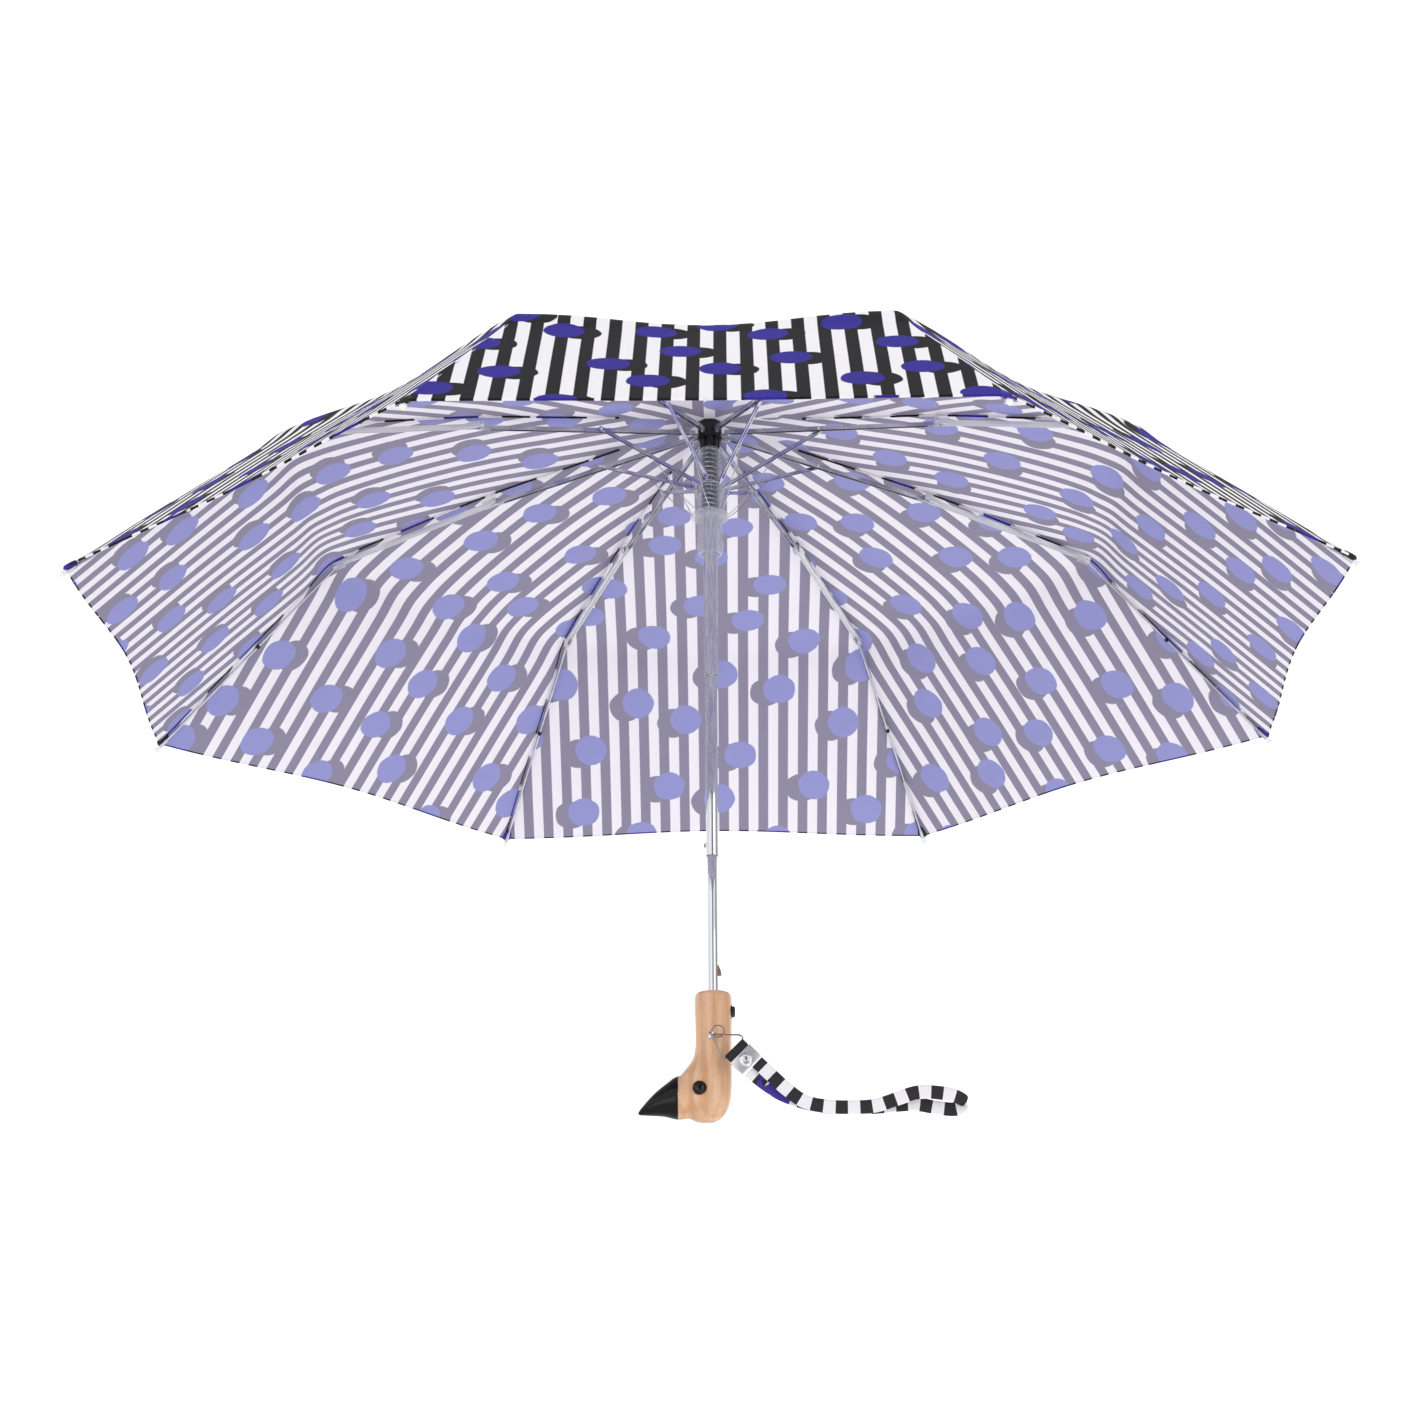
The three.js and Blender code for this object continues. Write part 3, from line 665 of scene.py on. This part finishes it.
# Runner: one clear injection moulding that slides on the tube, with a slotted ring for the
# stretchers, a flange and a grip ring. A coil spring sits inside its sleeve.
clear_finish, clear_shader, clear_place = start_finish(
    "clear_moulding", rgb(226, 229, 233), 0.12, IOR=1.46, Coat_Weight=0.5,
)
edge_on = clear_place.node("ShaderNodeLayerWeight", None, {"Blend": 0.35}, 1)
feed(clear_shader, "Alpha", edge_on * 0.6 + 0.03)
feed(clear_shader, "Roughness", clear_place.noise(300, 3) * 0.2 + 0.05)
feed(clear_shader, "Normal", clear_place.noise(420, 2).bump(0.0002, 0.2))
frame["nodes"]["runner"].material_slots[0].material = clear_finish

spring_finish, spring_shader, spring_place = start_finish("spring_wire", rgb(10, 10, 12), 0.4)
feed(spring_shader, "Roughness", spring_place.noise(900, 2) * 0.3 + 0.15)


class Growth:
    """A Geometry Nodes tree with named inputs, built node by node."""

    def __init__(self, name, **inputs):
        self.tree = bpy.data.node_groups.new(name, "GeometryNodeTree")
        kinds = {float: "NodeSocketFloat", int: "NodeSocketInt", tuple: "NodeSocketVector"}
        face = self.tree.interface
        face.new_socket("Geometry", in_out="INPUT", socket_type="NodeSocketGeometry")
        for key, value in inputs.items():
            made = face.new_socket(key.replace("_", " "), in_out="INPUT", socket_type=kinds[type(value)])
            made.default_value = value
        face.new_socket("Geometry", in_out="OUTPUT", socket_type="NodeSocketGeometry")
        self.source = self.tree.nodes.new("NodeGroupInput")

    def add(self, kind, settings=None, output=0, **inputs):
        """Adds a node; each input is a value, an output socket, or the name of a tree input."""
        made = self.tree.nodes.new(kind)
        for key, value in (settings or {}).items():
            setattr(made, key, value)
        for key, value in inputs.items():
            socket = made.inputs[key.replace("_", " ")]
            if isinstance(value, str):
                value = self.source.outputs[value]
            if isinstance(value, bpy.types.NodeSocket):
                self.tree.links.new(value, socket)
            else:
                socket.default_value = value
        return made.outputs[output]

    def end(self, geometry, finish):
        real = self.add("GeometryNodeRealizeInstances", Geometry=geometry)
        painted = self.add("GeometryNodeSetMaterial", Geometry=real, Material=finish)
        drain = self.tree.nodes.new("NodeGroupOutput")
        self.tree.links.new(painted, drain.inputs[0])

    def grow(self, name, corners, finish, edges=(), **values):
        """The tree's result on a few corners, as a plain piece."""
        mesh = bpy.data.meshes.new(name)
        mesh.from_pydata([tuple(c) for c in corners], list(edges), [])
        seed = bpy.data.objects.new(name, mesh)
        scene.collection.objects.link(seed)
        made = seed.modifiers.new("growth", "NODES")
        made.node_group = self.tree
        ids = {s.name: s.identifier for s in self.tree.interface.items_tree if s.in_out == "INPUT"}
        for key, value in values.items():
            made[ids[key.replace("_", " ")]] = value
        bpy.context.view_layer.update()
        view = bpy.context.evaluated_depsgraph_get()
        grown = bpy.data.meshes.new_from_object(seed.evaluated_get(view))
        seed.modifiers.clear()
        seed.data = grown
        if not grown.materials:
            grown.materials.append(finish)
        grown.shade_smooth()
        return seed


coil_foot = (0.0, 0.0, 426 * MM)
coil = Growth("coil_spring", Turns=12.5, Radius=6.55 * MM, Height=48 * MM, Wire=0.7 * MM)
helix = coil.add(
    "GeometryNodeCurveSpiral", Resolution=30, Rotations="Turns", Start_Radius="Radius", End_Radius="Radius",
    Height="Height",
)
wire_section = coil.add("GeometryNodeCurvePrimitiveCircle", {"mode": "RADIUS"}, Resolution=10, Radius="Wire")
coil_wire = coil.add("GeometryNodeCurveToMesh", Curve=helix, Profile_Curve=wire_section, Fill_Caps=True)
coil_wire = coil.add("GeometryNodeTransform", Geometry=coil_wire, Translation=coil_foot)
coil.end(coil_wire, spring_finish)
spring = coil.grow("runner_spring", [(0, 0, 0)], spring_finish)
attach(spring, "runner")
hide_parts("recoil_spring")


# Ribs: each is three folding sections of rolled steel channel and rod, and a stretcher from the
# runner. Bright rivets close the joints.
rib_count = 8
rib_numbers = range(1, rib_count + 1)
sector = 2 * math.pi / rib_count
clip_head_sides = (-1.9, 5.0)
knee_half_wide = 2.8
elbow_half_wide = 2.2
knee, elbow, clip_point, rib_tip = (188, 465), (332, 432), (92, 477), (490, 300)
pale_finish, pale_shader, pale_place = start_finish("pale_rib_alloy", rgb(234, 234, 237), 0.35, Metallic=0.4)
feed(pale_shader, "Roughness", pale_place.noise(300, 3) * 0.2 + 0.25)
strut_finish, strut_shader, strut_place = start_finish(
    "blued_stretcher_steel", rgb(168, 168, 200), 0.22, Metallic=1.0,
)
strut_tone = strut_place.noise(45, 2).between(0.35, 0.65)
feed(strut_shader, "Base Color", strut_tone.choose((*rgb(168, 166, 208), 1), (*rgb(206, 206, 214), 1)))
for name, node in frame["nodes"].items():
    for start, finish in (("top_rib", rib_finish), ("stretcher", strut_finish), ("middle_rib", pale_finish)):
        if name.startswith(start):
            node.material_slots[0].material = finish


def on_rib(k, r, z, side=0.0):
    """The point beside rib k at radius r and height z, in mm, given in metres."""
    turn = (k - 0.5) * sector
    x = r * math.cos(turn) - side * math.sin(turn)
    y = r * math.sin(turn) + side * math.cos(turn)
    return Vector((x, y, z)) * MM


rivet_heads = Growth("rivet_heads", Radius=1.3 * MM, Height=0.5, Turn=(0.0, 0.0, 0.0))
dome = rivet_heads.add("GeometryNodeMeshUVSphere", Segments=14, Rings=8, Radius="Radius")
flattened = rivet_heads.add("ShaderNodeCombineXYZ", X=1.0, Y=1.0, Z="Height")
dome = rivet_heads.add("GeometryNodeTransform", Geometry=dome, Scale=flattened)
heads = rivet_heads.add("GeometryNodeInstanceOnPoints", Points="Geometry", Instance=dome, Rotation="Turn")
rivet_heads.end(heads, chrome_finish)
for k in rib_numbers:
    lean = (math.pi / 2, 0.0, (k - 0.5) * sector)
    top_heads = [on_rib(k, *clip_point, side) for side in clip_head_sides]
    middle_heads = [
        on_rib(k, *joint, side)
        for joint, half in ((knee, knee_half_wide), (elbow, elbow_half_wide)) for side in (-half, half)
    ]
    for label, section, points in (("clip", "top", top_heads), ("knee", "middle", middle_heads)):
        heads = rivet_heads.grow(f"{label}_rivets_{k}", points, chrome_finish, Turn=lean)
        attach(heads, f"{section}_rib_{k}")


# Stay wires: a fine sprung wire from the runner's flange to each stretcher, carried on the runner.
stay_side = 5.2
stay_spoke = [(13.2, 420.4), (22, 427), (34, 440), (46, 454), (52, 460.2)]
for k in rib_numbers:
    stay_route = [on_rib(k, r, z, stay_side) / MM for r, z in stay_spoke]
    stay = wire(f"stay_wire_{k}", stay_route, 0.35, rib_finish, steps=20, sides=8)
    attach(stay, "runner")
    turn = (k - 0.5) * sector
    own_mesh(stay)


# Outer ribs: round rods with an eye at the elbow, a crimped ferrule at the tip and a small milky
# cap. Black thread ties hold the cloth to them.
milky_finish, milky_shader, milky_place = start_finish(
    "milky_cap", rgb(240, 241, 242), 0.35, Subsurface_Weight=0.2,
)
feed(milky_shader, "Roughness", milky_place.noise(900, 2) * 0.2 + 0.28)
thread_finish, thread_shader, thread_place = start_finish("black_thread", rgb(22, 20, 24), 0.85)
feed(thread_shader, "Normal", thread_place.noise(4000, 2).bump(0.0002, 0.8))
outer_run = Vector((rib_tip[0] - elbow[0], rib_tip[1] - elbow[1]))
outer_reach = outer_run.length
tie_down = 92
rod_profile = [
    (0, 1.2), (0.95, 1.2), (0.95, outer_reach - 7), (1.5, outer_reach - 6), (1.5, outer_reach + 2),
    (0, outer_reach + 2),
]
eye_profile = [(0.85, -1.1), (1.9, -1.1), (1.9, 1.1), (0.85, 1.1), (0.85, -1.1)]
cap_profile = [(0, 1.5), (1.5, 1.5), (1.9, 2.2), (1.7, 4.2), (2.2, 5.2), (2.2, 6.2), (1.3, 7.2), (0, 7.4)]
tie_profile = [
    (1.0, -1.6), (1.5, -1.6), (1.75, -0.8), (1.55, 0), (1.75, 0.8), (1.5, 1.6), (1.0, 1.6), (1.0, -1.6),
]
for k in rib_numbers:
    turn = (k - 0.5) * sector
    out = Vector((math.cos(turn), math.sin(turn), 0))
    along = (out * outer_run.x + Vector((0, 0, outer_run.y))).normalized()
    base = out * elbow[0] + Vector((0, 0, elbow[1]))
    rod = turned(f"outer_rod_{k}", rod_profile, rib_finish, base, along, 16, 0.2)
    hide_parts(f"outer_rib_{k}")
    side = Vector((-out.y, out.x, 0))
    rod_eye = turned(f"rod_eye_{k}", eye_profile, rib_finish, base, side, 24, 0.2)
    tip = turned(f"tip_cap_{k}", cap_profile, milky_finish, base + along * outer_reach, along, 24, 0.5)
    tie = turned(f"thread_tie_{k}", tie_profile, thread_finish, base + along * tie_down, along, 14, 0.1)
    for piece, slot in (
        (rod, "rib_steel"), (rod_eye, "rib_steel"), (tip, "clip_plastic"), (tie, "printed_cloth"),
    ):
        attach(piece, f"outer_rib_{k}")


# Canopy: eight gores of printed pongee sewn along the ribs. The cloth is stretched over the
# knees and elbows, and its hem curves in and up between the tips.
cloth_thick = 0.45
gore_steps = 16
stripe_pitch = 17.6 * MM
dot_radius = 14 * MM
dot_spacing = 60 * MM
dot_lattice_turn = 0.46
turned_gores = (3, 7)
shadow_shift = (-11.5 * MM, -3 * MM)
thread_pitch = 9000
gore_print_step = (40 * stripe_pitch, 0.83)
rib_line = [
    (9.5, 499.2, 0), (60, 493, 0), (128, 482, 0), (188, 472.2, 0), (262, 455.8, 0),
    (320, 441.4, 0), (340, 434, 0), (361, 414, 0), (426, 359.2, 0), (492.5, 302.2, 0),
]


def gore_point(share, within):
    """A point of the gore that lies along +X, at an angle within it, in mm."""
    at = flow(rib_line, share)
    half = sector / 2
    bow = math.cos(within / sector * math.pi) ** 2
    pull = 9 * share**3 + 3 * share * (1 - share)
    r = at.x * math.cos(half) / math.cos(within) - pull * bow
    sag = 9 * bow * math.exp(-(((share - 0.65) / 0.16) ** 2))
    return Vector((r * math.cos(within), r * math.sin(within), at.y + 3.3 * share**8 * bow - sag))


def gore_normal(share, within):
    low, high = max(share - 0.004, 0), min(share + 0.004, 1)
    left, right = max(within - 0.01, -sector / 2), min(within + 0.01, sector / 2)
    out = gore_point(high, within) - gore_point(low, within)
    round_ = gore_point(share, right) - gore_point(share, left)
    return out.cross(round_).normalized()


def cloth_finish(name, white, dark, dots, roughness):
    """Pongee printed with stripes along the gore, and dots that each throw a printed shadow."""
    material, shader, place = start_finish(name, white, roughness)
    cut = place.node("ShaderNodeUVMap", {"uv_map": "cut"})
    across = cut.part(0)
    wave = across.sum("FRACT", across / stripe_pitch)
    stripe = wave.between(0.235, 0.265) * (1 - wave.between(0.735, 0.765))

    def dots_at(shift_x, shift_y):
        moved = cut.node("ShaderNodeVectorMath", {"operation": "ADD"}, {0: cut, 1: (shift_x, shift_y, 0)})
        slant = (0, 0, dot_lattice_turn)
        slanted = moved.node("ShaderNodeMapping", None, {"Vector": moved, "Rotation": slant})
        cells = slanted.node(
            "ShaderNodeTexVoronoi", {"voronoi_dimensions": "2D"},
            {"Vector": slanted, "Scale": 1 / dot_spacing, "Randomness": 0.36},
        )
        edge = dot_radius / dot_spacing
        return 1 - cells.between(edge - 0.008, edge + 0.008)

    dot = dots_at(0, 0)
    shadow = dots_at(*shadow_shift)
    ink = stripe.sum("MAXIMUM", stripe, shadow)
    mottle = place.noise(18, 2).between(0.2, 0.8) * 0.06
    ground = mottle.choose((*white, 1), (*(c * 0.8 for c in white), 1))
    colour = dot.choose(ink.choose(ground, (*dark, 1)), (*dots, 1))
    feed(shader, "Base Color", colour)
    weave_x = across.sum("SINE", across * thread_pitch)
    weave_y = across.sum("SINE", cut.part(1) * thread_pitch)
    creases = cut.noise(26, 3, 0.55)
    height = weave_x * weave_y * 0.05 + creases
    feed(shader, "Normal", height.bump(0.0016, 0.35))
    shader.inputs["Specular IOR Level"].default_value = 0.2
    return material


outer_cloth = cloth_finish("pongee_outside", rgb(240, 238, 242), rgb(22, 19, 24), rgb(48, 37, 144), 0.8)
# The inside shows the same print in faded colours: painted light shining through the thin cloth.
lit_through_cloth = cloth_finish("pongee_inside_lit_through", rgb(242, 238, 245), rgb(143, 138, 159), rgb(150, 151, 206), 0.85)
tab_finish, tab_shader, tab_place = start_finish("violet_tab_cloth", rgb(50, 38, 150), 0.8)
feed(tab_shader, "Normal", tab_place.noise(2200, 2).bump(0.0003, 0.6))
sections = (("top", 0.0, 1 / 3, 22), ("middle", 1 / 3, 2 / 3, 22), ("outer", 2 / 3, 1.0, 34))
gore_lengths = [0.0]
fine = 240
for i in range(fine):
    step = gore_point((i + 1) / fine, 0) - gore_point(i / fine, 0)
    gore_lengths.append(gore_lengths[-1] + step.length)


def cloth_place(gore, across, down):
    """Where a point of a gore lies on the printed cloth: two gores are cut head to tail."""
    ply = gore % rib_count
    turned_over = -1 if ply in turned_gores else 1
    step_across, step_down = gore_print_step
    return (turned_over * across + ply * step_across, turned_over * down + ply * step_down)


def gore_beside(k, hand):
    """The number and turn of the gore on one side of rib k, and its angles from low to high."""
    gore = k if hand > 0 else k - 1
    first = -sector / 2 if hand > 0 else 0
    angles = [first + j * sector / gore_steps for j in range(gore_steps // 2 + 1)]
    return gore, Matrix.Rotation(gore * sector, 3, "Z"), angles


def gather_axis(k, hand, start, stop):
    """The way half a gore gathers towards its rib, square to the rib, and a point on the rib."""
    _, turn, _ = gore_beside(k, hand)
    top, foot = (turn @ gore_point(share, -hand * sector / 2) for share in (start, stop))
    run = (foot - top).normalized()
    away = turn @ gore_point(stop, 0) - foot
    return (away - away.dot(run) * run).normalized(), top * MM


def half_gore(k, hand, label, start, stop, rows):
    """The cloth between rib k and the middle line of the gore on one side of it."""
    gore, turn, angles = gore_beside(k, hand)
    columns = len(angles)
    spans = columns - 1
    shares = [start + (stop - start) * i / rows for i in range(rows + 1)]
    flat = [gore_point(share, angle) for share in shares for angle in angles]
    outward = [turn @ gore_normal(share, angle) for share in shares for angle in angles]
    count = len(flat)
    skin = [turn @ p for p in flat]
    corners = [p * MM for p in skin] + [(p - n * cloth_thick) * MM for p, n in zip(skin, outward)]
    faces = []
    for i in range(rows):
        for j in range(spans):
            a = i * columns + j
            b, c, d = a + columns, a + columns + 1, a + 1
            faces.append((a, b, c, d))
            faces.append((count + d, count + c, count + b, count + a))
    marks = [0, 1] * (rows * spans)
    rim = [(i * columns, (i + 1) * columns) for i in range(rows)]
    rim += [(rows * columns + j, rows * columns + j + 1) for j in range(spans)]
    rim += [((i + 1) * columns + spans, i * columns + spans) for i in range(rows)]
    rim += [(j + 1, j) for j in range(spans)]
    faces += [(b, a, count + a, count + b) for a, b in rim]
    marks += [0] * len(rim)
    side = "right" if hand > 0 else "left"
    piece = shaped(f"canopy_{label}_{k}_{side}", corners, faces, outer_cloth, lit_through_cloth)
    cut_map = piece.data.uv_layers.new(name="cut")
    loop_normals = []
    for face, mark in zip(piece.data.polygons, marks):
        face.material_index = mark
        for loop, corner in zip(face.loop_indices, face.vertices):
            spot = corner % count
            down = gore_lengths[round(shares[spot // columns] * fine)] * MM
            cut_map.data[loop].uv = cloth_place(gore, flat[spot].y * MM, down)
            loop_normals.append(tuple(-outward[spot] if mark else outward[spot]))
    piece.data.normals_split_custom_set(loop_normals)
    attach(piece, f"{label}_rib_{k}")
    axis, anchor = gather_axis(k, hand, start, stop)
    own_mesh(piece)
    return piece


canopy_pieces = [
    half_gore(k, hand, *section) for k in rib_numbers for section in sections for hand in (-1, 1)
]
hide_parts("canopy")


# Hem and seams: the cloth's edge is rolled and stitched, so it shows the outside print. Along
# each rib the gores' turned seam stands down beside the steel, and a folded tab ends it.
strip_sides = 10
hem_steps = 32
hem_wide, hem_thick = 1.9, 1.3
seam_start = 0.14
seam_wide, seam_thick = 1.7, 0.7
seam_below = 1.3
seam_beside = 2.4
tab_rows = ((-1.5, 0.3), (0, 3.4), (3, 4.6), (6, 3.6), (9, 1.8), (10.5, 0.3))
tab_half_thick = 1.9


def edged(name, centres, places, finish, wide, thick, body):
    """A thin strip of cloth along centres (mm), standing upright and printed by its place on the cloth."""

    def strip_ring(i, tangent):
        side = tangent.cross(Vector((0, 0, 1))).normalized()
        rise = side.cross(tangent)
        ring = []
        for n in range(strip_sides):
            turn = 2 * math.pi * n / strip_sides
            ring.append((side * (math.cos(turn) * thick / 2) + rise * (math.sin(turn) * wide / 2)) * MM)
        return ring

    strip = swept(name, [c * MM for c in centres], strip_ring, finish)
    strip_map = strip.data.uv_layers.new(name="cut")
    for face in strip.data.polygons:
        for loop in face.loop_indices:
            strip_map.data[loop].uv = places[strip.data.loops[loop].vertex_index // strip_sides]
    faced_out(strip.data)
    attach(strip, body)
    return strip


for k in rib_numbers:
    rib_turn = (k - 0.5) * sector
    rib_out = Vector((math.cos(rib_turn), math.sin(rib_turn), 0))
    rib_side = Vector((-rib_out.y, rib_out.x, 0))
    for hand, side in ((-1, "left"), (1, "right")):
        gore, turn, angles = gore_beside(k, hand)
        half = angles[-1] - angles[0]
        edge = [gore_point(1.0, angles[0] + half * i / hem_steps) for i in range(hem_steps + 1)]
        places = [cloth_place(gore, p.y * MM, gore_lengths[-1] * MM) for p in edge]
        hem_route = [turn @ p for p in edge]
        hem = edged(f"hem_{k}_{side}", hem_route, places, outer_cloth, hem_wide, hem_thick, f"outer_rib_{k}")
        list(gather_axis(k, hand, *sections[-1][1:3]))
        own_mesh(hem)
    near = Matrix.Rotation(rib_turn + sector / 2, 3, "Z")
    for label, start, stop, rows in sections:
        centres, places = [], []
        for i in range(rows + 1):
            share = max(start, seam_start) + (stop - max(start, seam_start)) * i / rows
            local = gore_point(share, -sector / 2)
            down_from = near @ gore_normal(share, -sector / 2)
            centres.append(near @ local - down_from * seam_below + rib_side * seam_beside)
            places.append(cloth_place(k, local.y * MM, gore_lengths[round(share * fine)] * MM))
        edged(f"seam_{label}_{k}", centres, places, outer_cloth, seam_wide, seam_thick, f"{label}_rib_{k}")
    corner_of = near @ gore_point(1.0, -sector / 2)
    inward = (Vector((rib_out.x * elbow[0], rib_out.y * elbow[0], elbow[1])) - corner_of).normalized()
    tab_centres = [(corner_of + inward * d - Vector((0, 0, 0.9))) * MM for d, _ in tab_rows]

    def tab_ring(i, tangent, across=rib_side):
        half = tab_rows[i][1]
        over = tangent.cross(across) * min(half, tab_half_thick)
        return [(across * (math.cos(t) * half) + over * math.sin(t)) * MM for t in loop_turns]

    tab = swept(f"tip_tab_{k}", tab_centres, tab_ring, tab_finish if k % 2 else fold_finish)
    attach(tab, f"outer_rib_{k}")


# Stage: a plain pale floor well below and an even white studio, whose soft dark bands show only
# in reflections. Soft lights stand in front on both sides, above and below.
floor_finish = start_finish("studio_floor", rgb(244, 244, 245), 0.9)[0]
floor_half, floor_level = 9, -1.15
floor_signs = ((-1, -1), (1, -1), (1, 1), (-1, 1))
floor_corners = [(x * floor_half, y * floor_half, floor_level) for x, y in floor_signs]
floor = shaped("floor", floor_corners, [(0, 1, 2, 3)], floor_finish)
world = bpy.data.worlds.new("studio")
scene.world = world
world.use_nodes = True
sky = world.node_tree.nodes["Background"]
direction = Field(world.node_tree).node("ShaderNodeTexCoord", output=3)
east = direction.part(0)
shade = [
    (0.0, 0.8), (0.1, 1.0), (0.4, 1.0), (0.45, 0.2), (0.6, 0.15), (0.66, 1.0), (0.88, 1.0), (0.95, 0.4),
    (1.0, 0.35),
]
shade_stops = [(p, (c, c, c, 1)) for p, c in shade]
bands = east.node("ShaderNodeValToRGB", {"stops": shade_stops}, {0: east * 0.5 + 0.5})
seen = direction.node("ShaderNodeLightPath", output=0)
world.node_tree.links.new(seen.choose(bands, (1, 1, 1, 1)).socket, sky.inputs["Color"])
sky.inputs["Strength"].default_value = 1.22
target = Vector((0, 0, 0.25))
for name, place, size, power in (
    ("key", (-1.6, -2.6, -0.8), 1.6, 10), ("fill", (2.2, -2.2, 0.1), 1.8, 12),
    ("top", (0.3, 0.2, 2.4), 2.2, 7), ("under", (0.4, 0.2, -1.05), 1.7, 8),
):
    lamp_data = bpy.data.lights.new(name, "AREA")
    lamp_data.size = size
    lamp_data.energy = power
    lamp = bpy.data.objects.new(name, lamp_data)
    aim = (target - Vector(place)).to_track_quat("-Z", "Y").to_matrix().to_4x4()
    lamp.matrix_world = Matrix.Translation(place) @ aim
    scene.collection.objects.link(lamp)
